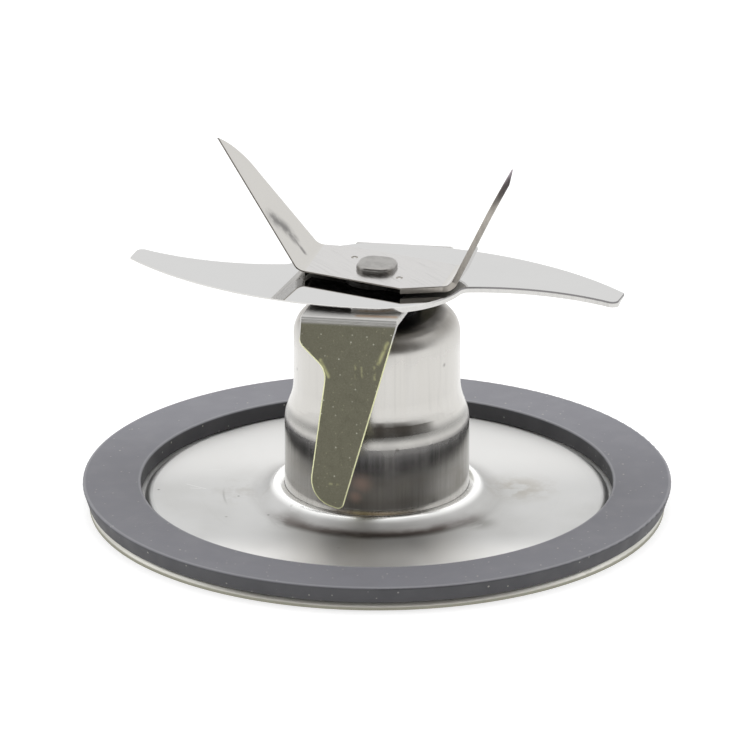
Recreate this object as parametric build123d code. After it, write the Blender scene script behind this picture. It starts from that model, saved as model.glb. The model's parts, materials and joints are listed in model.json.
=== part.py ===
from build123d import *
import math
import os

# Blender blade assembly. Sizes are in millimetres and angles in degrees.
# Z is the spin axis, and the rim's turned-down edge stands at Z = 0.

# Clearances
press_gap = 0.02           # radial gap between pieces that are pressed together
running_gap = 0.04         # radial gap between the shaft and its bushes
loose_gap = 0.15           # radial gap of washers and felt round the shaft
end_float = 0.1            # axial play of the shaft between its thrust washers

# Base disc, pressed from one sheet
disc_sheet = 0.9
rim_radius = 39.0
rim_width = 7.6            # from the plateau's step to the rim's edge
rim_lip = 0.3              # how far the rim's edge is turned down below the rim
step_angle = 45.0
step_foot_fillet = 0.3
bend_relief = 0.1          # inner radius left at tight outward bends
collar_width = 3.3         # from the hub wall to where the disc starts to rise
collar_foot_fillet = 2.6
collar_ridge_offset = 1.2  # from the hub wall to the collar's ridge
collar_ridge_rise = 1.95
collar_lip_drop = 0.35
collar_gap = 0.05          # gap between the collar's lip and the hub wall

# Hub shell, drawn from one sheet
hub_sheet = 0.8
flare_bottom = 13.6
flare_width = 1.2          # how far the hub's foot stands out from its neck
flare_height = 3.4
flare_foot_fillet = 5.2
flare_neck_fillet = 8.0
hub_shoulder_fillet = 3.3
hub_foot_inset = 9.0       # from the plateau's edge to the edge of the hub's foot
hub_foot_fillet = 0.5
foot_recess = 0.1          # height of the hub's foot above the rim's edge
hub_hole_gap = 0.6         # gap between the shaft and the hole in the hub's top

# Sealing gasket
gasket_overhang = 1.0      # how far the gasket stands out past the rim
gasket_gap = 0.6           # radial gap between the plateau's step and the gasket
gasket_height = 2.4
gasket_taper = 0.8
gasket_edge_fillet = 0.25

# Shaft
journal_radius = 4.0
tang_width = 4.6
tang_corner = 1.1
tang_gap = 0.03            # gap between the tang and the blades' holes
head_overhang = 0.35       # how far the peened head stands out past the tang
head_corner = 2.0
head_height = 0.8
head_fillet = 0.45
clip_groove_depth = 0.8
groove_land = 0.4          # shaft left below the clip's groove
tail_step = 1.0            # shoulder between the journal and the coupling's seat

# Bearing parts inside the hub
housing_flange_thickness = 2.0
flare_margin = 0.6         # gap between the housing's flange and the flare
housing_land = 0.36        # flat left between the seal's bore and the housing's top chamfer
bush_wall = 2.5
bush_height = 4.6
bush_chamfer = 0.3
felt_height = 4.8
seal_depth = 3.6           # from the journal to the seal's outer face
seal_height = 2.7
seal_wall = 1.6
seal_web = 0.8
seal_lip = 0.72
seal_lip_drop = 0.4        # how far the lip ends below the seal's top
spring_wire_radius = 0.45
ring_cord_radius = 0.72
ring_groove_width = 2.0
ring_depth = 5.0           # distance of the ring's middle below the hub's ceiling
retainer_sheet = 0.8
retainer_gap = 1.2         # radial gap between the lower washer and the retainer
retainer_slots = 10
retainer_slot_width = 1.2
retainer_slot_depth = 1.4

# Washers and clip
washer_sheet = 0.6
upper_washer_reach = 1.6   # how far the upper washer stands out from the journal
lower_washer_lap = 0.9     # how far the lower washer reaches past the bush
clip_sheet = 0.8
clip_reach = 2.0           # how far the clip stands out from the journal
clip_rim = 1.3
clip_tooth_width = 1.8
clip_mouth_width = 4.6
blade_washer_sheet = 0.35
blade_washer_reach = 0.6   # how far the washer between the blades stands out from the journal

# Drive coupling
coupling_wall = 3.2        # wall outside the socket's flats
coupling_web = 2.8         # height of the coupling above its socket
coupling_recess = 0.9      # height of the coupling's mouth above the rim's edge
coupling_chamfer = 0.5
socket_width = 8.4
socket_corner = 1.0
pin_radius = 0.75
pin_inset = 0.4            # how far the pin's ends lie inside the coupling

# Spacer collar
spacer_wall = 2.2          # from the journal to the collar's outer face
spacer_height = 2.5
spacer_fillet = 0.4

# Blades
blade_sheet = 0.8
edge_land = 0.15           # sheet left standing at a ground edge
grind_overcut = 0.3        # share of a bevel by which its cut passes the sheet

wing_body_radius = 12.4
wing_edge_radius = 46.2
wing_back_radius = 31.7
wing_tip_lead = (33.5, -6.7)
wing_tip_trail = (32.3, -10.6)
wing_root_angle = -21.0
wing_tip_fillet = 0.9
wing_root_fillet = 1.5
wing_grind_width = 2.4
wing_grind_start = 4.4     # angle past the blade's middle where the grind begins
wing_grind_overrun = 6.0   # angle by which the grind runs on past the tip

upper_turn = -14.5
upper_bend_radius = 1.7
upper_lead = 3.8           # offset of the leading edge from the arm's centre line
upper_plate_corner = (5.0, -6.9)
upper_tip_offset = -4.4
upper_belly = -7.2
upper_belly_to_tip = 7.5   # length along the arm from the belly to the tip
upper_bow_to_tip = 3.0     # length along the arm from the middle of the tip's arc to the tip
upper_bow = -6.6
upper_grind_width = 2.0
right_bend_start = 10.2
right_trail = -4.8
right_prong_angle = 64.0
right_prong_length = 18.75
left_bend_start = 9.1
left_trail = -6.8
left_prong_angle = 48.0
left_prong_length = 19.45
stake_radius = 0.45
stake_depth = 0.2
stake_place = (3.9, -3.0)

lower_turn = -98.0
lower_prong_gap = 2.8      # radial gap between the hub's neck and the start of the bend
lower_bend_radius = 0.15
lower_bend_angle = 71.0
lower_lead = 4.85
lower_trail = -8.4
lower_tip_clearance = 6.0  # height of the tips above the plateau
lower_tip_offset = -1.5
lower_heel_to_tip = 1.4    # length along the arm from the heel to the tip
lower_heel_offset = -6.2
lower_neck = (6.4, -4.6)
lower_shoulder = (2.85, -8.45)
lower_tip_fillet = 0.8
lower_heel_fillet = 3.9
lower_neck_fillet = 3.0
lower_shoulder_fillet = 1.6
lower_grind_width = 1.8

# Radii worked out from the sizes above, from the shaft outwards
loose_bore = journal_radius + loose_gap
running_bore = journal_radius + running_gap
seat_bore = journal_radius + press_gap
tail_radius = journal_radius - tail_step
groove_radius = journal_radius - clip_groove_depth
clip_radius = journal_radius + clip_reach
spacer_radius = journal_radius + spacer_wall
upper_washer_radius = journal_radius + upper_washer_reach
bush_radius = journal_radius + bush_wall
lower_washer_radius = bush_radius + lower_washer_lap
retainer_inner_radius = lower_washer_radius + retainer_gap
seal_radius = journal_radius + seal_depth
housing_chamfer = hub_shoulder_fillet - hub_sheet
housing_radius = seal_radius + press_gap + housing_land + housing_chamfer
neck_bore = housing_radius + press_gap
hub_neck_radius = neck_bore + hub_sheet
hub_radius = hub_neck_radius + flare_width
hub_bore = hub_radius - hub_sheet
coupling_radius = socket_width / 2 + coupling_wall
plateau_radius = rim_radius - rim_width
head_width = tang_width + 2 * head_overhang
lower_bend_start = hub_neck_radius + lower_prong_gap

# Heights worked out from the sizes above
rim_top = rim_lip + disc_sheet
plateau_bottom = foot_recess + hub_sheet
plateau_top = plateau_bottom + disc_sheet
housing_flange_top = flare_bottom - flare_margin
housing_bottom = housing_flange_top - housing_flange_thickness
lower_bush_top = housing_bottom + bush_height
upper_bush_bottom = lower_bush_top + felt_height
seal_bottom = upper_bush_bottom + bush_height
hub_ceiling = seal_bottom + seal_height
hub_height = hub_ceiling + hub_sheet
lower_washer_bottom = housing_bottom - washer_sheet
clip_top = lower_washer_bottom - end_float
clip_bottom = clip_top - clip_sheet
shaft_shoulder = clip_bottom - groove_land
socket_floor = shaft_shoulder - coupling_web
pin_height = (socket_floor + shaft_shoulder) / 2
upper_washer_top = hub_height + washer_sheet
spacer_bottom = upper_washer_top + end_float
lower_blade_bottom = spacer_bottom + spacer_height
flat_blade_bottom = lower_blade_bottom + blade_sheet
blade_washer_bottom = flat_blade_bottom + blade_sheet
upper_blade_bottom = blade_washer_bottom + blade_washer_sheet
blades_top = upper_blade_bottom + blade_sheet


def turned(outline):
    """Solid of revolution about Z from an outline drawn in radius and height."""
    return revolve(Plane.XZ * outline, Axis.Z)


def sheet_ring(points, radii, thickness):
    """Pressed or drawn sheet: a round profile with its outer face through the points."""
    path = FilletPolyline(*points, radius=radii)
    return turned(make_face(offset(path, thickness, side=Side.LEFT)))


def tube(inner, outer, bottom, top):
    """Plain round tube between two heights."""
    outline = Pos((inner + outer) / 2, (bottom + top) / 2) * Rectangle(outer - inner, top - bottom)
    return turned(outline)


def outer_rims(body):
    """Widest round edges of a turned piece."""
    return body.edges().filter_by(GeomType.CIRCLE).group_by(SortBy.RADIUS)[-1]


def base_disc():
    step_run = (plateau_top - rim_top) / math.tan(math.radians(step_angle))
    points = [
        (rim_radius, 0),
        (rim_radius, rim_top),
        (plateau_radius, rim_top),
        (plateau_radius - step_run, plateau_top),
        (hub_radius + collar_width, plateau_top),
        (hub_radius + collar_ridge_offset, plateau_top + collar_ridge_rise),
        (hub_radius + collar_gap, plateau_top + collar_ridge_rise - collar_lip_drop),
    ]
    edge_fillet = disc_sheet + bend_relief
    radii = [edge_fillet, step_foot_fillet, edge_fillet, collar_foot_fillet, edge_fillet]
    return sheet_ring(points, radii, disc_sheet)


def hub_shell():
    points = [
        (plateau_radius - hub_foot_inset, plateau_bottom),
        (hub_radius, plateau_bottom),
        (hub_radius, flare_bottom),
        (hub_neck_radius, flare_bottom + flare_height),
        (hub_neck_radius, hub_height),
        (journal_radius + hub_hole_gap, hub_height),
    ]
    radii = [hub_foot_fillet, flare_foot_fillet, flare_neck_fillet, hub_shoulder_fillet]
    return sheet_ring(points, radii, hub_sheet)


def sealing_gasket():
    inner = plateau_radius + gasket_gap
    outer = rim_radius + gasket_overhang
    outline = Polygon(
        (inner, rim_top),
        (outer - gasket_taper, rim_top),
        (outer, rim_top + gasket_height),
        (inner, rim_top + gasket_height),
        align=None,
    )
    return turned(fillet(outline.vertices(), gasket_edge_fillet))


def bearing_housing():
    flange_radius = hub_bore - press_gap
    seal_bore = seal_radius + press_gap
    bush_bore = bush_radius + press_gap
    outline = Polygon(
        (bush_bore, housing_bottom),
        (flange_radius, housing_bottom),
        (flange_radius, housing_flange_top),
        (housing_radius, housing_flange_top),
        (housing_radius, hub_ceiling - housing_chamfer),
        (housing_radius - housing_chamfer, hub_ceiling),
        (seal_bore, hub_ceiling),
        (seal_bore, seal_bottom),
        (bush_bore, seal_bottom),
        align=None,
    )
    groove_floor = housing_radius - 2 * ring_cord_radius - press_gap
    middle = hub_ceiling - ring_depth
    half = ring_groove_width / 2
    return turned(outline) - tube(groove_floor, hub_radius, middle - half, middle + half)


def round_ring(centre_radius, cord_radius, height):
    """Ring of round section."""
    return turned(Pos(centre_radius, height) * Circle(cord_radius))


def hub_o_ring():
    centre_radius = housing_radius - ring_cord_radius
    return round_ring(centre_radius, ring_cord_radius, hub_ceiling - ring_depth)


def shaft_seal():
    lip_outer = running_bore + seal_lip
    wall_inner = seal_radius - seal_wall
    lip_top = hub_ceiling - seal_lip_drop
    outline = Polygon(
        (running_bore, seal_bottom),
        (seal_radius, seal_bottom),
        (seal_radius, hub_ceiling),
        (wall_inner, hub_ceiling),
        (wall_inner, seal_bottom + seal_web),
        (lip_outer, seal_bottom + seal_web),
        (lip_outer, lip_top),
        (running_bore, lip_top),
        align=None,
    )
    return turned(outline)


def garter_spring():
    centre_radius = running_bore + seal_lip + press_gap + spring_wire_radius
    height = hub_ceiling - seal_lip_drop - spring_wire_radius
    return round_ring(centre_radius, spring_wire_radius, height)


def bush(bottom):
    body = tube(running_bore, bush_radius, bottom, bottom + bush_height)
    return chamfer(body.edges().filter_by(GeomType.CIRCLE), bush_chamfer)


def oil_felt():
    return tube(loose_bore, bush_radius, lower_bush_top, upper_bush_bottom)


def housing_retainer():
    """Push-in ring whose outer fingers grip the hub wall."""
    outer = hub_bore - press_gap
    ring = tube(retainer_inner_radius, outer, housing_bottom - retainer_sheet, housing_bottom)
    slot = Box(2 * retainer_slot_depth, retainer_slot_width, 2 * retainer_sheet)
    slots = PolarLocations(outer, retainer_slots)
    return ring - [Pos(0, 0, housing_bottom) * place * slot for place in slots]


def retaining_clip():
    """Open clip with three teeth that reach into the shaft's groove."""
    rim = Circle(clip_radius) - Circle(clip_radius - clip_rim)
    tooth_length = clip_radius - clip_rim / 2
    tooth = Pos(tooth_length / 2, 0) * Rectangle(tooth_length, clip_tooth_width)
    for turn in (0, 90, -90):
        rim += Rot(0, 0, turn) * tooth
    rim -= Circle(groove_radius + press_gap)
    rim -= Pos(-clip_radius, 0) * Rectangle(2 * clip_radius, clip_mouth_width)
    return Pos(0, 0, clip_bottom) * extrude(rim, clip_sheet)


def pin_hole():
    """Cross hole for the coupling's pin, through the coupling and the shaft."""
    length = 2 * (coupling_radius + pin_radius)
    return Pos(0, 0, pin_height) * Cylinder(pin_radius + press_gap, length, rotation=(0, 90, 0))


def drive_coupling():
    body = tube(tail_radius + press_gap, coupling_radius, coupling_recess, shaft_shoulder)
    body = chamfer(outer_rims(body), coupling_chamfer)
    socket = RectangleRounded(socket_width, socket_width, socket_corner)
    body -= Pos(0, 0, coupling_recess) * extrude(socket, socket_floor - coupling_recess)
    return body - pin_hole()


def coupling_pin():
    length = 2 * (coupling_radius - pin_inset)
    return Pos(0, 0, pin_height) * Cylinder(pin_radius, length, rotation=(0, 90, 0))


def tang_outline(gap):
    width = tang_width + 2 * gap
    return Rot(0, 0, upper_turn) * RectangleRounded(width, width, tang_corner + gap)


def drive_shaft():
    """Stepped shaft with a square tang that is peened over the blades."""
    shaft = tube(0, journal_radius, shaft_shoulder, lower_blade_bottom)
    shaft -= tube(groove_radius, clip_radius, clip_bottom, clip_top)
    shaft += tube(0, tail_radius, socket_floor, shaft_shoulder)
    tang_length = blades_top - lower_blade_bottom
    shaft += Pos(0, 0, lower_blade_bottom) * extrude(tang_outline(0), tang_length)
    head_shape = Rot(0, 0, upper_turn) * RectangleRounded(head_width, head_width, head_corner)
    head = extrude(head_shape, head_height)
    head = fillet(head.edges().group_by(Axis.Z)[-1], head_fillet)
    return shaft + Pos(0, 0, blades_top) * head - pin_hole()


def blade_washer():
    """Thin washer on the tang that keeps the upper blade clear of the flat one."""
    outline = Circle(journal_radius + blade_washer_reach) - tang_outline(tang_gap)
    return Pos(0, 0, blade_washer_bottom) * extrude(outline, blade_washer_sheet)


def spacer_collar():
    body = tube(seat_bore, spacer_radius, spacer_bottom, lower_blade_bottom)
    return fillet(outer_rims(body), spacer_fillet)


def grind_section(width):
    """Triangle that a ground bevel removes: X runs into the blade, Y from the ground face."""
    depth = blade_sheet - edge_land
    past = grind_overcut
    return Polygon(
        (width * (1 + past), -depth * past),
        (-width * past, -depth * past),
        (-width * past, depth * (1 + past)),
        align=None,
    )


def wing_edge():
    """Arc of a wing's leading edge, from the blade's middle to the tip."""
    return RadiusArc((0, wing_body_radius), wing_tip_lead, wing_edge_radius)


def wing_outline():
    """Both wings: leading edges, tips, trailing edges and the round body between them."""
    root = Vector(wing_body_radius, 0).rotate(Axis.Z, wing_root_angle)
    half = Curve() + [
        wing_edge(),
        Line(wing_tip_lead, wing_tip_trail),
        RadiusArc(wing_tip_trail, root, -wing_back_radius),
        RadiusArc(root, (0, -wing_body_radius), wing_body_radius),
    ]
    outline = make_face(half.edges() + (Rot(0, 0, 180) * half).edges())
    tip_corners = outline.vertices().sort_by_distance((0, 0))[-4:]
    outline = fillet(tip_corners, wing_tip_fillet)
    for corner in (root, -root):
        outline = fillet(outline.vertices().sort_by_distance(corner)[0], wing_root_fillet)
    return outline


def wing_grind():
    """Bevel on the underside of one leading edge, from its start out past the tip."""
    edge = wing_edge()
    centre = edge.arc_center
    axis = Axis(centre, (0, 0, -1))
    outward = edge.position_at(0) - centre
    plane = Plane(edge.position_at(0), x_dir=-outward, z_dir=Vector(0, 0, 1).cross(outward))
    edge_angle = math.degrees(edge.length / wing_edge_radius)
    sweep = edge_angle - wing_grind_start + wing_grind_overrun
    grind = revolve(plane * grind_section(wing_grind_width), axis, sweep)
    return grind.rotate(axis, wing_grind_start)


def flat_blade():
    blade = extrude(wing_outline() - tang_outline(tang_gap), blade_sheet)
    grind = wing_grind()
    blade -= [grind, Rot(0, 0, 180) * grind]
    return Pos(0, 0, flat_blade_bottom) * blade


def arm_section(lead, trail):
    """Square-cut section of an arm: X runs to the leading edge and Y up through the sheet."""
    return Pos((lead + trail) / 2, blade_sheet / 2) * Rectangle(lead - trail, blade_sheet)


def bent_arm(outline, section, bend_start, bend_radius, angle, grind, up):
    """Bend and prong of one blade arm, drawn along +X with the plate's underside at Z = 0.

    The prong is shaped flat and then turned about the bend's axis."""
    axis_height = blade_sheet + bend_radius if up else -bend_radius
    axis = Axis((bend_start, 0, axis_height), (0, -1 if up else 1, 0))
    bend = revolve(Plane((bend_start, 0, 0), x_dir=(0, 1, 0), z_dir=(1, 0, 0)) * section, axis, angle)
    prong = extrude(outline, blade_sheet) - grind
    prong = Pos(bend_start, 0, 0) * prong
    return bend + prong.rotate(axis, angle)


def straight_grind(start, end, width):
    """Bevel on the underside of a straight leading edge from start to end."""
    along = Vector(*end) - Vector(*start)
    inward = Vector(0, 0, 1).cross(along) * -1
    plane = Plane((*start, 0), x_dir=inward, z_dir=along)
    section = mirror(grind_section(width), Plane.XZ)
    return extrude(plane * section, along.length, dir=along.normalized())


def upper_arm(bend_start, trail, angle, length):
    tip = (length, upper_tip_offset)
    bow = (length - upper_bow_to_tip, upper_bow)
    belly = (length - upper_belly_to_tip, upper_belly)
    outline = make_face(
        [
            Line((0, upper_lead), tip),
            ThreePointArc(tip, bow, belly),
            Line(belly, (0, trail)),
            Line((0, trail), (0, upper_lead)),
        ]
    )
    grind = straight_grind((0, upper_lead), tip, upper_grind_width)
    bevel = mirror(grind_section(upper_grind_width), Plane.YZ)
    section = arm_section(upper_lead, trail) - Pos(upper_lead, 0) * bevel
    return bent_arm(outline, section, bend_start, upper_bend_radius, angle, grind, True)


def upper_blade():
    corner_x, corner_y = upper_plate_corner
    plate = Polyline(
        (right_bend_start, upper_lead),
        (right_bend_start, right_trail),
        (corner_x, corner_y),
        (-left_bend_start, -upper_lead),
        (-left_bend_start, -left_trail),
        (-corner_x, -corner_y),
        close=True,
    )
    blade = extrude(make_face(plate), blade_sheet)
    far_corner = (-corner_x, -corner_y)
    blade -= straight_grind(far_corner, (right_bend_start, upper_lead), upper_grind_width)
    blade -= Rot(0, 0, 180) * straight_grind(far_corner, (left_bend_start, upper_lead), upper_grind_width)
    blade += upper_arm(right_bend_start, right_trail, right_prong_angle, right_prong_length)
    left_arm = upper_arm(left_bend_start, left_trail, left_prong_angle, left_prong_length)
    blade += Rot(0, 0, 180) * left_arm
    stake = Pos(*stake_place, blade_sheet + stake_radius - stake_depth) * Sphere(stake_radius)
    blade -= [stake, Rot(0, 0, 180) * stake]
    blade = Rot(0, 0, upper_turn) * blade
    blade -= extrude(tang_outline(tang_gap), blade_sheet)
    return Pos(0, 0, upper_blade_bottom) * blade


def lower_prong_length():
    """Length from the bend to the tip that leaves the tip its clearance above the disc."""
    angle = math.radians(lower_bend_angle)
    drop = lower_blade_bottom - plateau_top - lower_tip_clearance
    bend_drop = lower_bend_radius * (1 - math.cos(angle))
    return (drop - bend_drop) / math.sin(angle)


def lower_arm():
    length = lower_prong_length()
    tip = (length, lower_tip_offset)
    corners = [
        (0, lower_lead),
        tip,
        (length - lower_heel_to_tip, lower_heel_offset),
        lower_neck,
        lower_shoulder,
        (0, lower_trail),
    ]
    radii = [0, lower_tip_fillet, lower_heel_fillet, lower_neck_fillet, lower_shoulder_fillet, 0]
    outline = make_face(FilletPolyline(*corners, radius=radii, close=True))
    grind = straight_grind((0, lower_lead), tip, lower_grind_width)
    section = arm_section(lower_lead, lower_trail)
    return bent_arm(outline, section, lower_bend_start, lower_bend_radius, lower_bend_angle, grind, False)


def lower_blade():
    plate = Polyline(
        (lower_bend_start, lower_lead),
        (lower_bend_start, lower_trail),
        (-lower_bend_start, -lower_lead),
        (-lower_bend_start, -lower_trail),
        close=True,
    )
    blade = extrude(make_face(plate), blade_sheet)
    blade += lower_arm()
    blade += Rot(0, 0, 180) * lower_arm()
    blade = Rot(0, 0, lower_turn) * blade
    blade -= extrude(tang_outline(tang_gap), blade_sheet)
    return Pos(0, 0, lower_blade_bottom) * blade


parts = {
    "base_disc": base_disc(),
    "hub_shell": hub_shell(),
    "sealing_gasket": sealing_gasket(),
    "bearing_housing": bearing_housing(),
    "hub_o_ring": hub_o_ring(),
    "shaft_seal": shaft_seal(),
    "garter_spring": garter_spring(),
    "upper_bush": bush(upper_bush_bottom),
    "oil_felt": oil_felt(),
    "lower_bush": bush(housing_bottom),
    "housing_retainer": housing_retainer(),
    "upper_thrust_washer": tube(loose_bore, upper_washer_radius, hub_height, upper_washer_top),
    "lower_thrust_washer": tube(loose_bore, lower_washer_radius, lower_washer_bottom, housing_bottom),
    "drive_shaft": drive_shaft(),
    "spacer_collar": spacer_collar(),
    "lower_blade": lower_blade(),
    "flat_blade": flat_blade(),
    "blade_washer": blade_washer(),
    "upper_blade": upper_blade(),
    "retaining_clip": retaining_clip(),
    "drive_coupling": drive_coupling(),
    "coupling_pin": coupling_pin(),
}

os.makedirs("parts", exist_ok=True)
for name, shape in parts.items():
    export_step(shape, f"parts/{name}.step")
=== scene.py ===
import json
import math

import bmesh
import bpy
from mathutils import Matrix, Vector
from mathutils.bvhtree import BVHTree


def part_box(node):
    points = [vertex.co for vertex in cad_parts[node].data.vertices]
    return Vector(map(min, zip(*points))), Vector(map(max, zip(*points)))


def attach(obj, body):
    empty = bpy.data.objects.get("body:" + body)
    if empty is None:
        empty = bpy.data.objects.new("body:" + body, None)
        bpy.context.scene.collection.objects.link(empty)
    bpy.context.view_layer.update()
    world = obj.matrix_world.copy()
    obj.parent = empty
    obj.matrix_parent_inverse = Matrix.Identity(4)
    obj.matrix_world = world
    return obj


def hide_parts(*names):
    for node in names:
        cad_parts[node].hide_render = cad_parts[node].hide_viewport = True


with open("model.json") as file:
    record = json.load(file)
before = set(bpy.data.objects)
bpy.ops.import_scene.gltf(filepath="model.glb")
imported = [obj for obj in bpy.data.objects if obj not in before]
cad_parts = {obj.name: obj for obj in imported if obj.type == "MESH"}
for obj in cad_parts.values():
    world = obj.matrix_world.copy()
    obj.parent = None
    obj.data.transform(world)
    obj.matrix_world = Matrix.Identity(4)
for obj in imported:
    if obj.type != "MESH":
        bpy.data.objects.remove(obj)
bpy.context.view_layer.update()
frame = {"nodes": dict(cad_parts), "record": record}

# Blender blade assembly: finishes, broken edges and studio. Lengths are in metres, marks in millimetres.
MM = 0.001


def mm(*lengths):
    """Lengths in millimetres as metres."""
    return tuple(MM * length for length in lengths)


# Camera, from the photograph's viewing angle
IMAGE_WIDTH = 748
PIXELS_PER_MM = 7.385
CAMERA_ELEVATION = math.radians(21.19)
CAMERA_DISTANCE = 4.5
CAMERA_REACH = 100.0
SENSOR_MM = 36.0
AIM = Vector(mm(-0.4, 0.0, 19.0))

# Studio
FLOOR_SIZE = 12.0
FLOOR_DROP = 0.02 * MM
FLOOR_GLOW = 0.7
SKY_LOW = (1.1, 1.1, 1.1, 1.0)
SKY_HIGH = (1.42, 1.42, 1.42, 1.0)
SKY_DARK = (0.085, 0.077, 0.07, 1.0)
TOP_LIGHT_HEIGHT = 0.9
TOP_LIGHT_SIZE = 0.7
TOP_LIGHT_WATTS = 1.4

# Where the sky changes: by the rise of a direction, and at the dark room's sides by its turn to the front
SKY_BRIGHTENS = (0.5, 0.95)
DARK_STARTS = (0.09, 0.19)
DARK_ENDS = (0.97, 0.85)
DARK_SIDES = (0.1, 0.45)

# Broken edges of the blades
EDGE_BREAK = 0.1 * MM
PRONG_BREAK = 0.16 * MM
EDGE_DROP = 0.12 * MM
FLAT_DROP = 0.05 * MM
EDGE_ANGLE = math.radians(50)
FLAT_ANGLE = math.radians(0.5)
SMOOTH_ANGLE = math.radians(40)
LEVEL_NORMAL = 0.99
NORMAL_WEIGHT = 100
WELD_DISTANCE = 0.5e-6

# Shares of the sheet's thickness: limits that tell cut edges and ground bevels from plain sheet,
# and how far under a face the test starts
CUT_SHARE = 1.25
GROUND_SHARE = 0.9
PROBE_SHARE = 0.02

# Material indexes of a blade's faces
SHEET_FACE = 0
CUT_FACE = 1
GROUND_FACE = 2

# Disc: where its finish changes, or the middle and half width of a band
# painted shade: heights of a dark line along the bottom of the rim
RIM_FOOT_SHADE = mm(0.3, 0.55)
RIM_INSET = mm(1.0, 0.6)
# painted light: the disc is made paler towards its back and towards its front
DISC_BACK_LIGHT = mm(0.0, 14.0)
DISC_FRONT_LIGHT = mm(-25.0, -15.0)
# painted highlight: where the collar's ridge is made almost white
COLLAR_HIGHLIGHT_EDGE = mm(13.9, 14.7)
COLLAR_HIGHLIGHT_RISE = mm(2.4, 3.0)
# painted shade: a dark ring round the collar's foot, strongest at the front
COLLAR_SHADE_BAND = mm(16.2, 1.9)
COLLAR_SHADE_FRONT = mm(-14.0, -6.0)

# Disc: marks, each a middle and a radius, or a start, an end and a half width
PLATEAU = 1.8
COLLAR_FOOT = 1.9
SMUDGES = (((-12.2, -11.0, COLLAR_FOOT), 3.6), ((13.8, -11.4, COLLAR_FOOT), 3.4))
STAIN = ((19.3, 1.7, PLATEAU), 7.0)
FILM = ((-18.0, 0.5, PLATEAU), 7.5)
ARC = ((-20.6, -1.5, PLATEAU), 4.0)
ARC_BAND = mm(20.8, 0.25)
DOT_RADIUS = 0.28
DOTS = (
    ((-18.75, -1.4, PLATEAU), DOT_RADIUS),
    ((-14.7, -8.4, PLATEAU), DOT_RADIUS),
    ((-29.6, 1.0, PLATEAU), DOT_RADIUS),
)
NICKS = (
    ((-25.8, 3.1, PLATEAU), (-23.2, 1.3, PLATEAU), 0.12),
    ((-25.3, 1.6, PLATEAU), (-23.9, 1.4, PLATEAU), 0.1),
    ((-22.6, 8.3, PLATEAU), (-21.2, 8.6, PLATEAU), 0.1),
)

# Hub: heights where its finish changes, or the middle and half width of a band
# painted highlight: heights of the golden line at the crease
HUB_CREASE = mm(3.5, 4.0)
# painted shade: heights below which the hub is darker
HUB_LOWER_SHADE = mm(11.6, 13.0)
# painted shade: a band of dark streaks just below the ring
STREAK_SHADE_BAND = mm(10.9, 2.0)
# painted shade: dims the bright reflection on the ring
RING_SHADE_BAND = mm(12.8, 1.0)
DULL_BAND = mm(13.4, 2.2)
# painted reflection: a dark band on the flare
FLARE_SHADE_BAND = mm(14.3, 1.2)

# Hub: depths below its top where the shoulder's finish changes
SHOULDER_DULL = mm(6.0, 2.0)
# the shoulder is dusty, with painted shade
SHOULDER_DUST_AND_SHADE = mm(2.4, 0.6)
# painted shade: the top under the blades is made nearly black
TOP_SHADE_DEPTH = mm(0.5, 0.05)

# Hub: marks
# painted reflection of the lower prong: a pinkish patch on the hub
PRONG_REFLECTION = (((-2.1, -12.3, 8.0), 2.2), ((-2.9, -12.1, 5.9), 1.4))
PITS = (((9.1, -6.7, 22.9), 0.45), ((-10.8, -3.3, 21.0), 0.4))
# painted highlight: a golden line at the crease
CREASE_HIGHLIGHT = ((-0.4, -12.5, 3.6), 7.0)

# Gasket: how deep below its top it blooms grey, partly as painted light, its back made paler by painted
# light, a rubbed place and painted highlights beside its edges
BLOOM_AND_LIGHT_DEPTH = mm(0.26, 0.06)
GASKET_BACK_LIGHT = mm(5.0, 30.0)
GASKET_RUB = ((-29.5, -16.0, 3.6), 9.0)
# painted highlights: insets and half widths of light lines along the top's outer and inner edges
OUTER_HIGHLIGHT_INSET = 0.22 * MM
OUTER_HIGHLIGHT_HALF = 0.3 * MM
INNER_HIGHLIGHT_INSET = 0.2 * MM
INNER_HIGHLIGHT_HALF = 0.28 * MM

# Blades: where their finishes change, or the middle and half width of a band
BEND_FOOT = mm(31.5, 31.95)
# painted shade and a painted highlight across the bend
BEND_SHADE_BAND = mm(32.36, 0.13)
BEND_HIGHLIGHT_BAND = mm(32.0, 0.22)
PRONG_EDGE_TOP = mm(28.5, 30.5)
# painted shade: depth of the dark top of the right wing's cut edges
EDGE_SHADE_DEPTH = mm(0.3, 0.16)
RIGHT_WING = mm(6.0, 11.0)

# Blades: marks
PLATE = 34.4
SMEAR = (
    ((-13.9, 4.6, 39.8), (-12.2, 5.1, 38.0), 2.1),
    ((-12.2, 5.1, 38.0), (-11.2, 4.7, 36.9), 1.6),
    ((-11.3, 4.8, 37.0), (-9.8, 3.9, 35.1), 0.65),
)
# painted shade in the stake dents
STAKE_SHADE = (((3.0, -3.9, PLATE), 0.75), ((-3.0, 3.9, PLATE), 0.75))
RIGHT_TIP = ((18.3, -9.2, 51.6), 5.5)
RUBS = (
    ((-2.9, -16.5, 26.8), (-2.8, -17.1, 25.0), 0.3),
    ((-2.1, -16.75, 26.4), (-2.0, -17.2, 25.1), 0.25),
    ((-0.4, -16.95, 26.5), (-0.3, -17.5, 25.0), 0.35),
    ((-6.4, -21.35, 11.4), (-5.0, -21.55, 11.3), 0.25),
)
# painted highlights: glints along the lower prong's edges
GLINTS = (
    ((1.4, -16.1, 29.7), (0.2, -16.85, 27.0), 0.42),
    ((-7.6, -15.7, 27.1), (-6.5, -16.6, 25.0), 0.36),
)
# painted reflection: a brown line across the lower blade's plate at the bend
BROWN_REFLECTION = ((-2.5, -13.1, 32.5), (2.4, -13.6, 32.5), 0.8)

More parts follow.
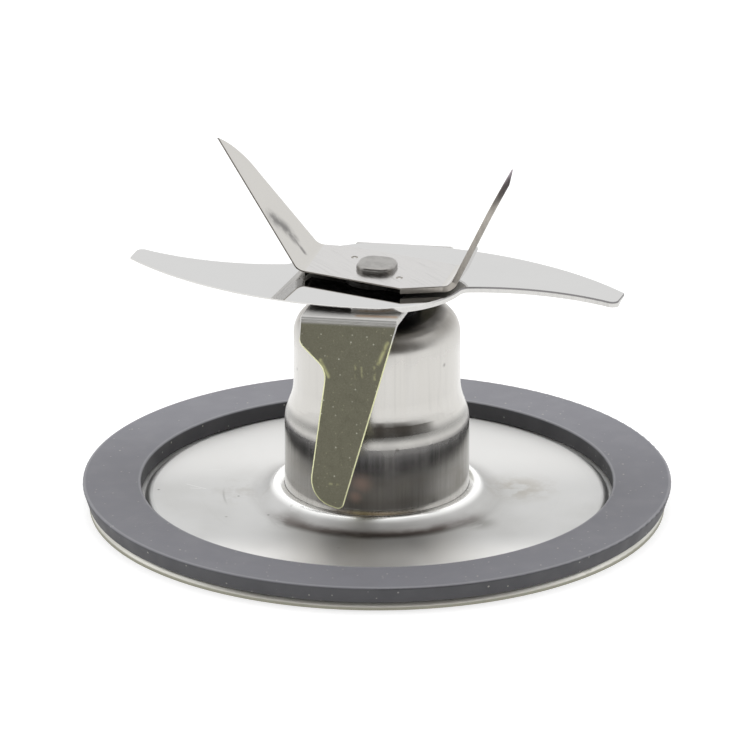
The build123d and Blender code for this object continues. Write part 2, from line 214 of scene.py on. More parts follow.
# Faces that look down or sideways, by the height of their normal
UNDERSIDE = (-0.9, -0.5)
# painted shade on faces that look sideways
WALL_SHADE = (0.2, 0.6)

# How fast specks and scratches fade
SPECK_FADE = 1.7
SPECK_PICK = 0.01
SCRATCH_FADE = 0.06

# Sockets of a mix node that deal with colours, and the operations on vectors that give a number
MIX_SHARE = 0
MIX_FIRST = 6
MIX_SECOND = 7
MIX_RESULT = 2
NUMBER_OPERATIONS = ("DISTANCE", "DOT_PRODUCT", "LENGTH")


class Nodes:
    """Shader nodes of one tree, with the steps that the finishes and the sky are made of."""

    def __init__(self, tree):
        self.tree = tree

    def feed(self, socket, value):
        """Gives an input a plain value, or a link where the value is a socket."""
        if isinstance(value, bpy.types.NodeSocket):
            self.tree.links.new(value, socket)
        else:
            socket.default_value = value

    def add(self, kind, inputs=None, **settings):
        """New node with its settings and its inputs."""
        node = self.tree.nodes.new("ShaderNode" + kind)
        for key, value in settings.items():
            setattr(node, key, value)
        for key, value in (inputs or {}).items():
            self.feed(node.inputs[key], value)
        return node

    def math(self, operation, first, second=0.0, clamped=False):
        """Operation on one or two numbers."""
        inputs = {0: first, 1: second}
        return self.add("Math", inputs, operation=operation, use_clamp=clamped).outputs[0]

    def vectors(self, operation, first, second=(0, 0, 0)):
        """Operation on one or two vectors, which gives a number or a vector."""
        node = self.add("VectorMath", {0: first, 1: second}, operation=operation)
        return node.outputs["Value" if operation in NUMBER_OPERATIONS else "Vector"]

    def parts(self, vector):
        """The three numbers of a vector."""
        return self.add("SeparateXYZ", {"Vector": vector}).outputs

    def ramp(self, value, low, high, to_low=0.0, to_high=1.0):
        """Smooth step of a value from one range to another."""
        inputs = {"Value": value, "From Min": low, "From Max": high, "To Min": to_low, "To Max": to_high}
        return self.add("MapRange", inputs, interpolation_type="SMOOTHSTEP").outputs["Result"]

    def fall(self, value, low, high):
        """1 below a range, fading to 0 above it."""
        return self.ramp(value, low, high, 1.0, 0.0)

    def band(self, value, middle, half):
        """1 at the middle of a range, fading to 0 at its ends."""
        away = self.math("ABSOLUTE", self.math("SUBTRACT", value, middle))
        return self.fall(away, 0.0, half)

    def product(self, *shares):
        """Product of shares."""
        result = shares[0]
        for share in shares[1:]:
            result = self.math("MULTIPLY", result, share)
        return result

    def largest(self, *shares):
        """Largest of shares."""
        result = shares[0]
        for share in shares[1:]:
            result = self.math("MAXIMUM", result, share)
        return result

    def mix(self, share, first, second):
        """Mix of two colours, by the share of the second."""
        inputs = {MIX_SHARE: share, MIX_FIRST: first, MIX_SECOND: second}
        return self.add("Mix", inputs, data_type="RGBA").outputs[MIX_RESULT]


class Finish(Nodes):
    """One procedural material in the part's own frame, built up layer by layer."""

    def __init__(self, name, metallic, colour):
        self.material = bpy.data.materials.new(name)
        self.material.use_nodes = True
        super().__init__(self.material.node_tree)
        self.shader = self.tree.nodes["Principled BSDF"]
        self.set("Metallic", metallic)
        self.colour = (*colour, 1.0)
        self.relief = None
        self.place = self.add("TexCoord").outputs["Object"]

    def set(self, name, value):
        """Gives one of the shader's inputs a value or a link."""
        self.feed(self.shader.inputs[name], value)

    def tint(self, colour, *shares):
        """Mixes a colour over what is there, by the product of shares between 0 and 1."""
        self.colour = self.mix(self.product(*shares), self.colour, (*colour, 1.0))

    def bump(self, height, strength, distance):
        """Adds a bump on top of those before it."""
        inputs = {"Height": height, "Strength": strength, "Distance": distance}
        if self.relief is not None:
            inputs["Normal"] = self.relief
        self.relief = self.add("Bump", inputs).outputs["Normal"]

    def done(self):
        """The material, with its colour and bumps in place."""
        self.set("Base Color", self.colour)
        if self.relief is not None:
            self.set("Normal", self.relief)
        return self.material

    def axis(self, index):
        """Place along X, Y or Z."""
        return self.parts(self.place)[index]

    def radius(self):
        """Distance from the spin axis."""
        return self.vectors("LENGTH", self.vectors("MULTIPLY", self.place, (1, 1, 0)))

    def facing_up(self):
        """How far the surface looks upwards, from -1 to 1."""
        return self.parts(self.add("NewGeometry").outputs["Normal"])["Z"]

    def stretched(self, lengths, turn=0.0):
        """The part's frame turned about Z and drawn out by a length per axis."""
        inputs = {"Vector": self.place, "Rotation": (0, 0, turn), "Scale": lengths}
        return self.add("Mapping", inputs, vector_type="TEXTURE").outputs["Vector"]

    def polar(self, arc):
        """Radius, angle and height as a vector, with an arc length for each radian."""
        back = self.math("MULTIPLY", self.axis(1), -1.0)
        angle = self.math("ARCTAN2", self.axis(0), back)
        inputs = {0: self.radius(), 1: self.math("MULTIPLY", angle, arc), 2: self.axis(2)}
        return self.add("CombineXYZ", inputs).outputs["Vector"]

    def upright(self):
        """Breadth and height as a flat vector, for marks on faces that look forwards."""
        return self.add("CombineXYZ", {0: self.axis(0), 1: self.axis(2)}).outputs["Vector"]

    def noise(self, scale, detail=2.0, vector=None, roughness=0.5):
        """Soft random pattern between 0 and 1."""
        inputs = {
            "Vector": vector or self.place,
            "Scale": scale,
            "Detail": detail,
            "Roughness": roughness,
        }
        return self.add("TexNoise", inputs).outputs["Fac"]

    def specks(self, scale, size, share, flat=None):
        """Small spots in a share of all cells, in space or on a flat vector: 1 on a spot, 0 beside it."""
        inputs = {"Vector": flat or self.place, "Scale": scale}
        cells = self.add("TexVoronoi", inputs, voronoi_dimensions="2D" if flat else "3D").outputs
        spot = self.fall(cells["Distance"], size, SPECK_FADE * size)
        pick = self.add("SeparateColor", {"Color": cells["Color"]}).outputs[0]
        return self.product(spot, self.ramp(pick, 1.0 - share, 1.0 + SPECK_PICK - share))

    def scratches(self, scale, turns, width=0.012, density=0.62):
        """Sparse fine lines in a few directions: 1 on a line and 0 beside it."""
        layers = []
        for turn in turns:
            layer = self.noise(scale, 1.0, self.stretched((1.0, width, width), turn))
            layers.append(self.ramp(layer, density, density + SCRATCH_FADE))
        return self.largest(*layers)

    def near(self, point, radius):
        """1 at a point in millimetres, fading to 0 at the radius."""
        return self.fall(self.vectors("DISTANCE", self.place, mm(*point)), 0.0, radius * MM)

    def spots(self, marks):
        """Round marks, each a middle and a radius."""
        return self.largest(*(self.near(*mark) for mark in marks))

    def stroke(self, start, end, half):
        """1 on a straight mark between two points in millimetres, fading to 0 at its half width."""
        origin = Vector(start) * MM
        run = Vector(end) * MM - origin
        offset = self.vectors("SUBTRACT", self.place, origin)
        along = self.vectors("DOT_PRODUCT", offset, run / run.length_squared)
        along = self.math("ADD", along, 0.0, clamped=True)
        foot = self.add("VectorMath", {0: run, "Scale": along}, operation="SCALE").outputs["Vector"]
        return self.fall(self.vectors("DISTANCE", offset, foot), 0.0, half * MM)

    def strokes(self, marks):
        """Straight marks, each a start, an end and a half width."""
        return self.largest(*(self.stroke(*mark) for mark in marks))


def short_of(limit, gaps):
    """Values that lie short of a limit by some gaps."""
    return [limit - gap for gap in gaps]


def shaded(colour, factor):
    """Colour made darker or lighter by a factor."""
    return tuple(min(1.0, factor * part) for part in colour)


def radial_range(node):
    """Smallest and largest distance of a node's mesh from the spin axis."""
    radii = [vertex.co.xy.length for vertex in frame["nodes"][node].data.vertices]
    return min(radii), max(radii)


def disc_steel():
    """Satin pressed steel, rubbed and stained, made paler at its back and front as painted light, with a
    painted highlight on its collar, painted shade round the collar's foot and painted shade along the
    bottom of its rim.
    """
    low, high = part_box("base_disc")
    finish = Finish("disc_satin_steel", 1.0, (0.605, 0.605, 0.597))
    depth = finish.axis(1)
    height = finish.axis(2)
    radius = finish.radius()
    cloud = finish.noise(90.0, 4.0)
    rubs = finish.noise(1800.0, 3.0, finish.polar(0.0012))
    lines = finish.scratches(220.0, (0.3, 1.2, 2.1, 2.7))
    finish.tint((0.51, 0.505, 0.485), finish.ramp(cloud, 0.45, 0.75, 0.0, 0.3))
    finish.tint((0.48, 0.475, 0.46), finish.ramp(rubs, 0.55, 0.8, 0.0, 0.12))
    finish.tint((0.70, 0.70, 0.70), lines, 0.15)
    finish.tint((0.26, 0.25, 0.23), finish.specks(260.0, 0.05, 0.35), 0.55)
    swept = finish.noise(700.0, 4.0, finish.polar(0.006))
    finish.tint((0.20, 0.19, 0.175), finish.spots(SMUDGES), finish.ramp(swept, 0.3, 0.6), 0.6)
    patches = finish.noise(420.0, 5.0, roughness=0.6)
    finish.tint((0.38, 0.345, 0.29), finish.near(*STAIN), finish.ramp(patches, 0.4, 0.62), 0.6)
    finish.tint((0.42, 0.40, 0.37), finish.near(*FILM), finish.ramp(patches, 0.45, 0.65), 0.4)
    finish.tint((0.30, 0.295, 0.28), finish.band(radius, *ARC_BAND), finish.near(*ARC), 0.5)
    finish.tint((0.12, 0.115, 0.11), finish.spots(DOTS), 0.9)
    finish.tint((0.85, 0.85, 0.84), finish.strokes(NICKS), 0.6)
    # Painted light: paler towards the back and the front of the disc.
    finish.tint((0.80, 0.795, 0.78), finish.ramp(depth, *DISC_BACK_LIGHT), 0.75)
    finish.tint((0.95, 0.94, 0.92), finish.fall(depth, *DISC_FRONT_LIGHT), 0.85)
    rim = finish.ramp(radius, *short_of(high.x, RIM_INSET))
    foot = finish.fall(height, *(low.z + rise for rise in RIM_FOOT_SHADE))
    finish.tint((0.62, 0.60, 0.48), rim, 0.35)
    # Painted shade: a dark line along the bottom of the rim's edge.
    finish.tint((0.20, 0.195, 0.13), rim, foot, 0.75)
    # Painted highlight: the collar's ridge is made almost white; the same ridge is also made smoother.
    collar = finish.product(finish.fall(radius, *COLLAR_HIGHLIGHT_EDGE), finish.ramp(height, *COLLAR_HIGHLIGHT_RISE))
    finish.tint((1.0, 1.0, 0.985), collar, 0.9)
    # Painted shade: a dark ring round the collar's foot, strongest at the front.
    collar_shade = finish.product(finish.band(radius, *COLLAR_SHADE_BAND), finish.ramp(depth, *COLLAR_SHADE_FRONT, 1.0, 0.15))
    finish.tint((0.14, 0.12, 0.11), collar_shade, finish.ramp(swept, 0.25, 0.6, 0.7, 1.0))
    rough = finish.ramp(cloud, 0.3, 0.7, 0.42, 0.5)
    rough = finish.math("SUBTRACT", rough, finish.product(collar, 0.22))
    finish.set("Roughness", finish.math("ADD", rough, finish.product(lines, 0.05)))
    finish.bump(lines, 0.05, 0.01 * MM)
    return finish.done()


def hub_steel():
    """Drawn steel with upright draw marks, with painted shade below, on and above its ring, a painted
    reflection of the prong, a painted highlight at its crease, a dusty shoulder with painted shade, and
    painted shade on its top.
    """
    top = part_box("hub_shell")[1].z
    finish = Finish("hub_drawn_steel", 1.0, (0.565, 0.552, 0.525))
    height = finish.axis(2)
    drawn_lower_shade = finish.fall(height, *HUB_LOWER_SHADE)
    streaks = finish.noise(2600.0, 3.0, finish.stretched((1.0, 1.0, 40.0)))
    wide = finish.noise(600.0, 2.0, finish.stretched((1.0, 1.0, 25.0)))
    bands = finish.noise(450.0, 3.0, finish.stretched((30.0, 30.0, 1.0)))
    cloud = finish.noise(250.0, 4.0)
    finish.tint((0.47, 0.46, 0.44), finish.ramp(streaks, 0.5, 0.75, 0.0, 0.3))
    finish.tint((0.63, 0.62, 0.60), finish.ramp(wide, 0.5, 0.7, 0.0, 0.2))
    # Painted shade: below its ring the hub is darker, in streaks and in bands.
    finish.tint((0.31, 0.30, 0.285), drawn_lower_shade, finish.ramp(streaks, 0.42, 0.62, 0.4, 0.55))
    finish.tint((0.36, 0.335, 0.30), drawn_lower_shade, finish.ramp(bands, 0.45, 0.65, 0.0, 0.3))
    # Painted reflection: a dark band on the flare.
    finish.tint((0.31, 0.305, 0.29), finish.band(height, *FLARE_SHADE_BAND), 0.9)
    # Painted shade over the ring's bright reflection.
    finish.tint((0.42, 0.41, 0.39), finish.band(height, *RING_SHADE_BAND), 0.6)
    # Painted shade: dark streaks in a band just below the ring.
    streak_shade = finish.band(height, *STREAK_SHADE_BAND)
    finish.tint((0.22, 0.215, 0.20), streak_shade, finish.ramp(streaks, 0.46, 0.58, 0.0, 0.3))
    # Painted reflection of the lower prong: a pinkish patch.
    finish.tint((0.95, 0.72, 0.62), finish.spots(PRONG_REFLECTION), 0.7)
    finish.tint((0.20, 0.19, 0.18), finish.spots(PITS), 0.6)
    # Painted highlight: a golden line at the crease above the collar.
    finish.tint((1.0, 0.83, 0.60), finish.fall(height, *HUB_CREASE), finish.near(*CREASE_HIGHLIGHT))
    finish.tint((0.20, 0.19, 0.17), finish.specks(300.0, 0.06, 0.25), 0.6)
    # The shoulder is dusty, with painted shade: darker in patches.
    dust_and_shade = finish.ramp(height, *short_of(top, SHOULDER_DUST_AND_SHADE))
    finish.tint((0.30, 0.275, 0.245), dust_and_shade, finish.ramp(cloud, 0.3, 0.65, 0.3, 0.6))
    # Painted shade: the top under the blades is made nearly black.
    top_shade = finish.ramp(height, *short_of(top, TOP_SHADE_DEPTH))
    finish.tint((0.12, 0.11, 0.10), top_shade, finish.ramp(cloud, 0.3, 0.6, 0.75, 0.95))
    rough = finish.ramp(wide, 0.3, 0.7, 0.12, 0.2)
    shoulder = finish.ramp(height, *short_of(top, SHOULDER_DULL))
    rough = finish.math("ADD", rough, finish.product(shoulder, 0.2))
    rough = finish.math("ADD", rough, finish.product(finish.band(height, *DULL_BAND), 0.16))
    finish.set("Roughness", finish.math("ADD", rough, finish.product(drawn_lower_shade, 0.05)))
    finish.set("Anisotropic", 0.5)
    tangent = finish.add("Tangent", direction_type="RADIAL", axis="Z")
    finish.set("Tangent", tangent.outputs["Tangent"])
    finish.bump(streaks, 0.05, 0.02 * MM)
    return finish.done()


def gasket_rubber():
    """Dark rubber whose top blooms grey, partly as painted light over walls left dark as painted shade,
    with a back made paler by painted light, pale specks and painted highlights along the edges of its top.
    """
    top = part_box("sealing_gasket")[1].z
    inner, outer = radial_range("sealing_gasket")
    finish = Finish("gasket_grey_rubber", 0.0, (0.062, 0.062, 0.068))
    radius = finish.radius()
    mottle = finish.noise(300.0, 5.0)
    # Partly painted light: the top blooms grey and is made much lighter than the walls, which stay dark as
    # painted shade.
    bloom_and_top_light = finish.ramp(finish.axis(2), *short_of(top, BLOOM_AND_LIGHT_DEPTH))
    finish.tint((0.188, 0.188, 0.21), bloom_and_top_light)
    finish.tint((0.215, 0.215, 0.238), bloom_and_top_light, finish.ramp(mottle, 0.4, 0.7, 0.0, 0.3))
    # Painted light: the back of the top is made paler.
    finish.tint((0.24, 0.24, 0.265), bloom_and_top_light, finish.ramp(finish.axis(1), *GASKET_BACK_LIGHT), 0.7)
    finish.tint((0.50, 0.48, 0.43), finish.specks(430.0, 0.045, 0.7), 0.6)
    finish.tint((0.42, 0.41, 0.38), finish.specks(900.0, 0.09, 0.45), 0.45)
    rubbed = finish.scratches(300.0, (0.5, 0.9), 0.02, 0.66)
    finish.tint((0.36, 0.36, 0.36), rubbed, bloom_and_top_light, finish.near(*GASKET_RUB), 0.5)
    # Painted highlights: light lines along the outer and inner edges of the top.
    outer_highlight = finish.band(radius, outer - OUTER_HIGHLIGHT_INSET, OUTER_HIGHLIGHT_HALF)
    inner_highlight = finish.band(radius, inner + INNER_HIGHLIGHT_INSET, INNER_HIGHLIGHT_HALF)
    finish.tint((0.34, 0.34, 0.36), finish.largest(outer_highlight, inner_highlight), bloom_and_top_light, 0.55)
    finish.set("Roughness", finish.ramp(mottle, 0.3, 0.7, 0.55, 0.7))
    finish.bump(finish.noise(4000.0, 3.0), 0.1, 0.03 * MM)
    return finish.done()


def rolled_sheet(name, colour):
    """Sheet with faint rolling lines and specks: the finish, and its clouds and scratches."""
    finish = Finish(name, 1.0, colour)
    rolled = finish.noise(1500.0, 2.0, finish.stretched((40.0, 1.0, 1.0), 0.25))
    cloud = finish.noise(160.0, 3.0)
    lines = finish.scratches(250.0, (0.1, 1.0, 2.4), density=0.68)
    finish.tint(shaded(colour, 0.92), finish.ramp(cloud, 0.4, 0.75, 0.0, 0.15))
    finish.tint(shaded(colour, 0.97), finish.ramp(rolled, 0.45, 0.75, 0.0, 0.1))
    finish.tint(shaded(colour, 1.25), lines, 0.05)
    finish.tint(shaded(colour, 0.4), finish.specks(200.0, 0.03, 0.3), 0.5)
    return finish, cloud, lines


def bright_sheet():
    """Flat blade: bright sheet, a little duller in clouds and on scratches."""
    finish, cloud, lines = rolled_sheet("blade_bright_sheet", (0.57, 0.568, 0.562))
    rough = finish.ramp(cloud, 0.3, 0.7, 0.015, 0.0225)
    finish.set("Roughness", finish.math("ADD", rough, finish.product(lines, 0.015)))
    return finish.done()


def warm_sheet():
    """Upper blade: warmer sheet with a dark smear on the left prong, painted shade in its stake dents and
    a dull underside.
    """
    finish = rolled_sheet("blade_warm_sheet", (0.555, 0.54, 0.512))[0]
    dabs = finish.noise(900.0, 3.0)
    finish.tint((0.15, 0.145, 0.14), finish.strokes(SMEAR), finish.ramp(dabs, 0.3, 0.6, 0.35, 0.95))
    # Painted shade in the stake dents.
    finish.tint((0.14, 0.13, 0.12), finish.spots(STAKE_SHADE), finish.ramp(dabs, 0.35, 0.6, 0.3, 0.9))
    finish.tint((0.40, 0.35, 0.42), finish.near(*RIGHT_TIP), 0.6)
    under = finish.ramp(finish.facing_up(), *UNDERSIDE, 0.5, 0.0)
    finish.set("Roughness", finish.math("ADD", under, 0.085))
    return finish.done()


def olive_sheet():
    """Lower blade: duller, and olive below the bend, with pale specks, rub marks, painted glints, a
    painted brown reflection, and painted shade and a painted highlight across the bend.
    """
    finish = rolled_sheet("blade_olive_sheet", (0.54, 0.535, 0.52))[0]
    height = finish.axis(2)
    flat = finish.upright()
    hanging = finish.fall(height, *BEND_FOOT)
    mottle = finish.noise(1300.0, 4.0)
    grain = finish.noise(5500.0, 3.0)
    finish.tint((0.395, 0.387, 0.29), hanging)
    finish.tint((0.34, 0.335, 0.25), hanging, finish.ramp(mottle, 0.45, 0.7, 0.0, 0.3))
    finish.tint((0.55, 0.545, 0.40), hanging, finish.ramp(grain, 0.5, 0.75, 0.0, 0.45))
    finish.tint((0.29, 0.285, 0.21), hanging, finish.ramp(grain, 0.3, 0.48, 0.4, 0.0))
    finish.tint((0.75, 0.75, 0.52), hanging, finish.specks(900.0, 0.06, 0.35, flat), 0.45)
    faint = finish.ramp(mottle, 0.38, 0.6, 0.25, 0.95)
    finish.tint((1.0, 1.0, 0.86), hanging, finish.specks(430.0, 0.032, 0.6, flat), faint)
    finish.tint((0.80, 0.80, 0.48), finish.strokes(RUBS), finish.ramp(mottle, 0.35, 0.55), 0.7)
    # Painted highlights: glints along the lower prong's edges.
    finish.tint((1.0, 1.0, 0.55), finish.strokes(GLINTS), finish.ramp(mottle, 0.3, 0.55, 0.4, 0.9))
    # Painted reflection: a brown line across the plate at the bend.
    finish.tint((0.50, 0.33, 0.20), finish.stroke(*BROWN_REFLECTION), 0.7)
    # Painted shade and a painted highlight across the bend.
    finish.tint((0.20, 0.198, 0.19), finish.band(height, *BEND_SHADE_BAND), 0.9)
    finish.tint((1.0, 1.0, 0.97), finish.band(height, *BEND_HIGHLIGHT_BAND), 0.95)
    rough = finish.ramp(mottle, 0.3, 0.7, 0.45, 0.5)
    finish.set("Roughness", finish.math("SUBTRACT", rough, finish.product(hanging, 0.12)))
    return finish.done()


def cut_edge(name, colour, rough):
    """Sheared and broken edges, with faint tearing across the sheet."""
    finish = Finish(name, 1.0, colour)
    tear = finish.noise(1800.0, 3.0, finish.stretched((1.0, 1.0, 6.0)))
    finish.tint(shaded(colour, 0.75), finish.ramp(tear, 0.45, 0.8, 0.0, 0.2))
    finish.set("Roughness", finish.ramp(tear, 0.3, 0.7, rough, 1.4 * rough))
    finish.bump(tear, 0.02, 0.02 * MM)
    return finish


def bright_edge(top):
    """Flat blade's cut edges, with painted shade near the top of the right wing's edges."""
    finish = cut_edge("blade_bright_edge", (0.60, 0.592, 0.575), 0.16)
    # Painted shade along the top of the right wing's cut edges.
    edge_top_shade = finish.ramp(finish.axis(2), *short_of(top, EDGE_SHADE_DEPTH))
    right = finish.ramp(finish.axis(0), *RIGHT_WING)
    finish.tint((0.13, 0.125, 0.13), edge_top_shade, right, 0.85)
    return finish.done()


def warm_edge():
    """Upper blade's cut edges, browner, with a purple-grey right tip."""
    finish = cut_edge("blade_warm_edge", (0.40, 0.375, 0.34), 0.32)
    finish.tint((0.42, 0.36, 0.44), finish.near(*RIGHT_TIP), 0.6)
    return finish.done()


def olive_edge():
    """Lower blade's cut edges: bright at the bend, and pale yellow-green below it, partly as painted
    highlights on the broken edges.
    """
    finish = cut_edge("blade_olive_edge", (0.68, 0.675, 0.655), 0.42)
    # Partly painted highlights: the broken edges below the bend are made pale yellow-green.
    finish.tint((0.84, 0.85, 0.54), finish.fall(finish.axis(2), *PRONG_EDGE_TOP))
    return finish.done()


def ground_edge(name, colour):
    """Ground bevels: fine grinding lines."""
    finish = Finish(name, 1.0, colour)
    lines = finish.noise(3000.0, 2.0, finish.stretched((1.0, 20.0, 1.0), 0.6))
    finish.tint(shaded(colour, 0.75), finish.ramp(lines, 0.5, 0.8, 0.0, 0.3))
    finish.set("Roughness", finish.ramp(lines, 0.3, 0.7, 0.16, 0.26))
    finish.bump(lines, 0.04, 0.01 * MM)
    return finish.done()


def shaft_steel():
    """Peened steel with dents, and painted shade on its walls."""
    finish = Finish("shaft_peened_steel", 1.0, (0.36, 0.35, 0.336))
    dents = finish.noise(900.0, 2.0)
    grain = finish.noise(4000.0, 3.0)
    finish.tint((0.22, 0.215, 0.205), finish.ramp(dents, 0.4, 0.7, 0.0, 0.4))
    # Painted shade on the walls.
    finish.tint((0.12, 0.115, 0.11), finish.ramp(finish.facing_up(), *WALL_SHADE, 0.3, 0.0))
    finish.set("Roughness", finish.ramp(grain, 0.3, 0.7, 0.28, 0.42))
    finish.bump(dents, 0.2, 0.1 * MM)
    finish.bump(grain, 0.06, 0.02 * MM)
    return finish.done()


def dark_steel():
    """Washer between the blades, painted near-black as the shade between them, darker still in patches."""
    # Painted shade: the washer's steel is made near-black, as the shade between the blades.
    finish = Finish("washer_dark_steel", 1.0, (0.06, 0.058, 0.056))
    film = finish.noise(1500.0, 3.0)
    finish.tint((0.03, 0.028, 0.026), finish.ramp(film, 0.4, 0.7, 0.0, 0.5))
    finish.set("Roughness", finish.ramp(film, 0.3, 0.7, 0.45, 0.6))
    return finish.done()


def cast_metal():
    """Grey casting skin."""
    finish = Finish("cast_grey_metal", 1.0, (0.50, 0.50, 0.51))
    skin = finish.noise(1500.0, 4.0)
    finish.tint((0.38, 0.38, 0.39), finish.ramp(skin, 0.4, 0.7, 0.0, 0.4))
    finish.set("Roughness", finish.ramp(skin, 0.3, 0.7, 0.4, 0.58))
    finish.bump(skin, 0.2, 0.05 * MM)
    return finish.done()


def bronze():
    """Sintered bronze with dark pores."""
    finish = Finish("sintered_bronze", 1.0, (0.55, 0.38, 0.20))
    pores = finish.noise(5000.0, 4.0)
    finish.tint((0.28, 0.18, 0.09), finish.ramp(pores, 0.5, 0.7, 0.0, 0.6))
    finish.set("Roughness", finish.ramp(pores, 0.3, 0.7, 0.35, 0.55))
    finish.bump(pores, 0.2, 0.03 * MM)
    return finish.done()


def black_compound(name, rough):
    """Black rubber or plastic with a faint skin."""
    finish = Finish(name, 0.0, (0.004, 0.004, 0.005))
    finish.set("Specular IOR Level", 0.2)
    skin = finish.noise(2200.0, 4.0)
    finish.tint((0.009, 0.009, 0.010), finish.ramp(skin, 0.5, 0.75, 0.0, 0.5))
    finish.set("Roughness", finish.ramp(skin, 0.3, 0.7, rough, rough + 0.15))
    finish.bump(skin, 0.08, 0.03 * MM)
    return finish.done()


def felt():
    """Oiled felt with fine fibres."""
    finish = Finish("oiled_felt", 0.0, (0.20, 0.16, 0.10))
    fibres = finish.noise(3500.0, 6.0, roughness=0.7)
    finish.tint((0.33, 0.28, 0.19), finish.ramp(fibres, 0.4, 0.65, 0.0, 0.8))
    finish.set("Roughness", finish.ramp(fibres, 0.3, 0.7, 0.75, 0.95))
    finish.bump(fibres, 0.6, 0.1 * MM)
    return finish.done()


def floor_white():
    """Pale floor that glows enough to stay white under the part."""
    finish = Finish("floor_white", 0.0, (0.5, 0.5, 0.5))
    finish.tint((0.48, 0.48, 0.48), finish.ramp(finish.noise(3.0, 2.0), 0.4, 0.6, 0.0, 0.3))
    finish.set("Roughness", 0.9)
    finish.set("Emission Color", (1.0, 1.0, 1.0, 1.0))
    finish.set("Emission Strength", FLOOR_GLOW)
    return finish.done()


def paint_nodes():
    """Gives each CAD node that stays the finish of its material slot."""
    finishes = {
        "disc_steel": disc_steel(),
        "hub_steel": hub_steel(),
        "gasket_rubber": gasket_rubber(),
        "shaft_steel": shaft_steel(),
        "cast_metal": cast_metal(),
        "bronze": bronze(),
        "black_rubber": black_compound("black_rubber", 0.5),
        "black_plastic": black_compound("black_plastic", 0.35),
        "felt": felt(),
    }
    for subpart in frame["record"]["subparts"]:
        slot = subpart["material_slot"]
        if slot in finishes:
            frame["nodes"][subpart["node"]].data.materials[0] = finishes[slot]
    frame["nodes"]["blade_washer"].data.materials[0] = dark_steel()


def welded(node):
    """Copy of a node's mesh with its corners joined and its flat faces whole."""
    shape = bmesh.new()
    shape.from_mesh(frame["nodes"][node].data)
    bmesh.ops.remove_doubles(shape, verts=shape.verts, dist=WELD_DISTANCE)
    bmesh.ops.dissolve_limit(
        shape, angle_limit=FLAT_ANGLE, verts=shape.verts, edges=shape.edges, delimit={"NORMAL"}
    )
    points = [tuple(vertex.co) for vertex in shape.verts]
    shape.verts.index_update()
    faces = [[vertex.index for vertex in face.verts] for face in shape.faces]
    shape.free()
    mesh = bpy.data.meshes.new(node + "_dressed")
    mesh.from_pydata(points, [], faces)
    mesh.update()
    return mesh


def largest_triangles(mesh):
    """Largest triangle of each face, by the face's index."""
    mesh.calc_loop_triangles()
    found = {}
    for triangle in mesh.loop_triangles:
        known = found.get(triangle.polygon_index)
        if known is None or triangle.area > known.area:
            found[triangle.polygon_index] = triangle
    return found


def sort_faces(mesh, sheet):
    """Marks cut edges and ground bevels, by how much sheet lies behind each face."""
    tree = BVHTree.FromPolygons(
        [vertex.co for vertex in mesh.vertices], [list(face.vertices) for face in mesh.polygons]
    )
    triangles = largest_triangles(mesh)
    for face in mesh.polygons:
        corners = [mesh.vertices[index].co for index in triangles[face.index].vertices]
        middle = sum(corners, Vector()) / len(corners)
        depth = tree.ray_cast(middle - face.normal * (PROBE_SHARE * sheet), -face.normal)[3]
        if depth is None or depth > CUT_SHARE * sheet:
            face.material_index = CUT_FACE
        elif depth < GROUND_SHARE * sheet:
            face.material_index = GROUND_FACE


def upper_side(shape):
    """Faces of a blade's upper side: its largest level face and all that follow without a sharp edge."""
    sheet = [face for face in shape.faces if face.material_index == SHEET_FACE]
    level = [face for face in sheet if face.normal.z > LEVEL_NORMAL]
    side = {max(level, key=lambda face: face.calc_area())}
    queue = list(side)
    while queue:
        for edge in queue.pop().edges:
            if edge.calc_face_angle(math.pi) < EDGE_ANGLE:
                fresh = set(edge.link_faces) - side
                side |= fresh
                queue += fresh
    return side


def break_edges(mesh, width, depth):
    """Chamfers the outline of a blade's upper side and marks the chamfer as cut."""
    shape = bmesh.new()
    shape.from_mesh(mesh)
    side = upper_side(shape)
    border = bmesh.ops.inset_region(
        shape, faces=list(side), thickness=width, use_even_offset=True, use_boundary=True
    )
    ring = set(border["faces"])
    shape.normal_update()
    drops = {}
    for face in ring:
        face.material_index = CUT_FACE
        for vertex in face.verts:
            beside = set(vertex.link_faces)
            if not beside & side:
                normals = [near.normal for near in beside & ring]
                drops[vertex] = sum(normals, Vector()).normalized() * depth
    for vertex, drop in drops.items():
        vertex.co -= drop
    shape.to_mesh(mesh)
    shape.free()


def shade_blade(mesh):
    """Smooth bends, with sharp lines along cut and broken edges."""
    mesh.shade_smooth()
    mesh.set_sharp_from_angle(angle=SMOOTH_ANGLE)
    shape = bmesh.new()
    shape.from_mesh(mesh)
    for edge in shape.edges:
        if len({face.material_index for face in edge.link_faces}) > 1:
            edge.smooth = False
    shape.to_mesh(mesh)
    shape.free()


def dress_blade(node, sheet, width, depth, finishes):
    """Blade with broken edges, in place of its CAD solid. Finishes are of sheet, cut and ground faces."""
    mesh = welded(node)
    for finish in finishes:
        mesh.materials.append(finish)
    sort_faces(mesh, sheet)
    break_edges(mesh, width, depth)
    shade_blade(mesh)
    piece = bpy.data.objects.new(node + "_dressed", mesh)
    bpy.context.scene.collection.objects.link(piece)
    level = piece.modifiers.new("level_faces", "WEIGHTED_NORMAL")
    level.keep_sharp = True
    level.weight = NORMAL_WEIGHT
    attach(piece, "rotor")
    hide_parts(node)


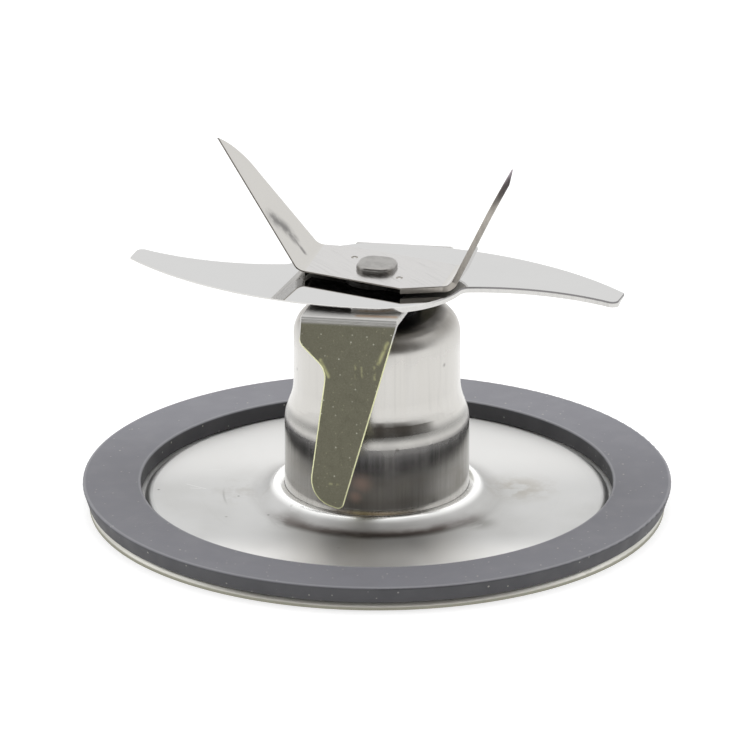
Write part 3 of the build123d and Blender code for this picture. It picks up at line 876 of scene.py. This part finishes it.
def dress_blades():
    """The three blades, each with its own finishes."""
    low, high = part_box("flat_blade")
    sheet = high.z - low.z
    ground = ground_edge("blade_ground_edge", (0.57, 0.56, 0.55))
    olive_ground = ground_edge("blade_olive_ground", (0.42, 0.415, 0.32))
    bright = (bright_sheet(), bright_edge(high.z), ground)
    warm = (warm_sheet(), warm_edge(), ground)
    olive = (olive_sheet(), olive_edge(), olive_ground)
    dress_blade("flat_blade", sheet, EDGE_BREAK, FLAT_DROP, bright)
    dress_blade("upper_blade", sheet, EDGE_BREAK, EDGE_DROP, warm)
    dress_blade("lower_blade", sheet, PRONG_BREAK, EDGE_DROP, olive)


def build_floor():
    """Plain square floor just under the part."""
    half = FLOOR_SIZE / 2
    corners = [(-half, -half), (half, -half), (half, half), (-half, half)]
    mesh = bpy.data.meshes.new("floor")
    mesh.from_pydata([(x, y, -FLOOR_DROP) for x, y in corners], [], [(0, 1, 2, 3)])
    mesh.materials.append(floor_white())
    floor = bpy.data.objects.new("floor", mesh)
    bpy.context.scene.collection.objects.link(floor)


def build_sky():
    """White surroundings with a dark room behind the camera."""
    world = bpy.data.worlds.new("studio")
    world.use_nodes = True
    bpy.context.scene.world = world
    sky = Nodes(world.node_tree)
    way = sky.add("TexCoord").outputs["Generated"]
    rise = sky.parts(way)["Z"]
    level = sky.vectors("NORMALIZE", sky.vectors("MULTIPLY", way, (1, 1, 0)))
    front = sky.vectors("DOT_PRODUCT", level, (0, -1, 0))
    height = sky.product(sky.ramp(rise, *DARK_STARTS), sky.ramp(rise, *DARK_ENDS))
    dark = sky.product(sky.ramp(front, *DARK_SIDES), height)
    bright = sky.mix(sky.ramp(rise, *SKY_BRIGHTENS), SKY_LOW, SKY_HIGH)
    background = sky.tree.nodes["Background"]
    sky.feed(background.inputs["Color"], sky.mix(dark, bright, SKY_DARK))


def build_light():
    """Round softbox above the part that isn't mirrored in its steel."""
    data = bpy.data.lights.new("top_softbox", "AREA")
    data.shape = "DISK"
    data.size = TOP_LIGHT_SIZE
    data.energy = TOP_LIGHT_WATTS
    light = bpy.data.objects.new("top_softbox", data)
    light.location = (0.0, 0.0, TOP_LIGHT_HEIGHT)
    light.visible_glossy = False
    bpy.context.scene.collection.objects.link(light)


def build_camera():
    """Long lens at the photograph's angle."""
    data = bpy.data.cameras.new("camera")
    data.sensor_width = SENSOR_MM
    data.lens = PIXELS_PER_MM / IMAGE_WIDTH * SENSOR_MM * CAMERA_DISTANCE / MM
    data.clip_end = CAMERA_REACH
    camera = bpy.data.objects.new("camera", data)
    toward = Vector((0.0, -math.cos(CAMERA_ELEVATION), math.sin(CAMERA_ELEVATION)))
    camera.location = AIM + toward * CAMERA_DISTANCE
    camera.rotation_euler = (math.pi / 2 - CAMERA_ELEVATION, 0.0, 0.0)
    bpy.context.scene.collection.objects.link(camera)
    bpy.context.scene.camera = camera


bpy.context.scene.view_settings.view_transform = "Standard"
paint_nodes()
dress_blades()
build_floor()
build_sky()
build_light()
build_camera()
